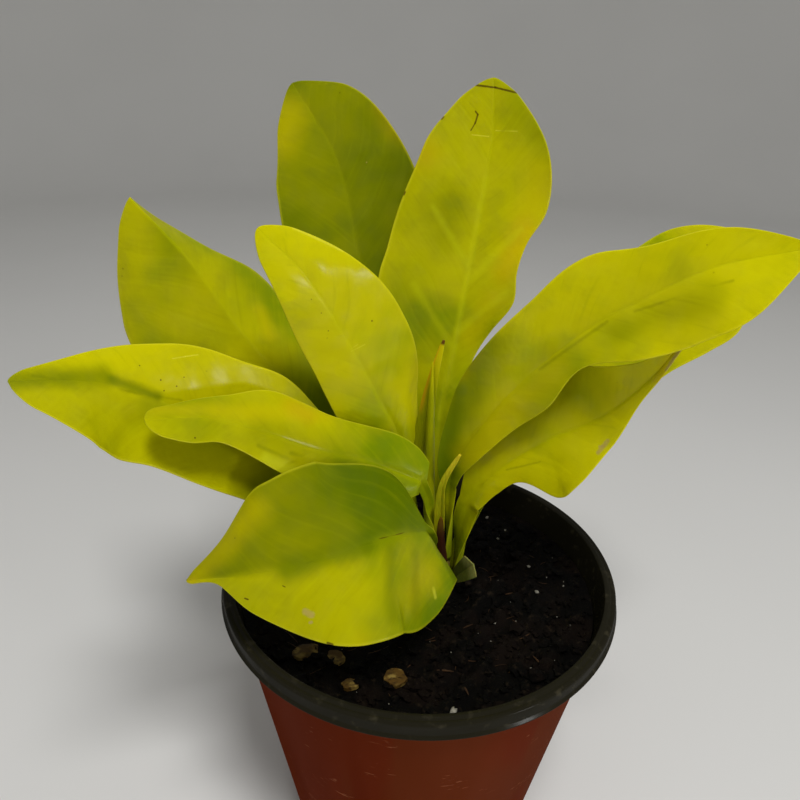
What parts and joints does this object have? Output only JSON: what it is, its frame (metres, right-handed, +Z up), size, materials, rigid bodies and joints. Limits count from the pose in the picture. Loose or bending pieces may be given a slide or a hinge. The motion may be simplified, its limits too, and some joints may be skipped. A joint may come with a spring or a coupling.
{
  "type": "potted malay gold philodendron",
  "caption": "Young foliage plant: upright strap-shaped yellow-green leaves on a short stem, in soil, in a round tapered plastic nursery pot that stands on its base.",
  "frame": {"origin": "centre of the pot's underside, on the surface that it stands on", "axes": "+Z up along the pot's axis, -Y towards the viewer of the picture, +X to the right"},
  "size_m": [0.252, 0.15, 0.3],
  "materials": {
    "pot": "thin glossy terracotta-brown plastic, black inside and on the lip",
    "soil": "dark moist potting mix with bark and perlite",
    "stem": "short fibrous stem",
    "leaf": "smooth, slightly waxy chartreuse leaf",
    "new_leaf": "rolled new leaf with an orange-tan margin",
    "sheath": "thin pale sheath",
    "dry_sheath": "dry red-brown sheath",
    "cut_stalk": "cut, half-dried grey-green leaf stalk",
    "bark": "rough flake of bark"
  },
  "bodies": {
    "root": {"pot": "pot", "soil": "soil", "stem": "stem", "leaf_a": "leaf", "leaf_b": "leaf", "leaf_c": "leaf", "leaf_d": "leaf", "leaf_e": "leaf", "leaf_f": "leaf", "leaf_g": "leaf", "leaf_h": "leaf", "leaf_i": "leaf", "leaf_j": "leaf", "new_leaf": "new_leaf", "sheath_tip": "sheath", "sheath_dry": "dry_sheath", "cut_stalk": "cut_stalk", "bark_chip_1": "bark", "bark_chip_2": "bark", "bark_chip_3": "bark", "bark_chip_4": "bark"}
  },
  "joints": []
}
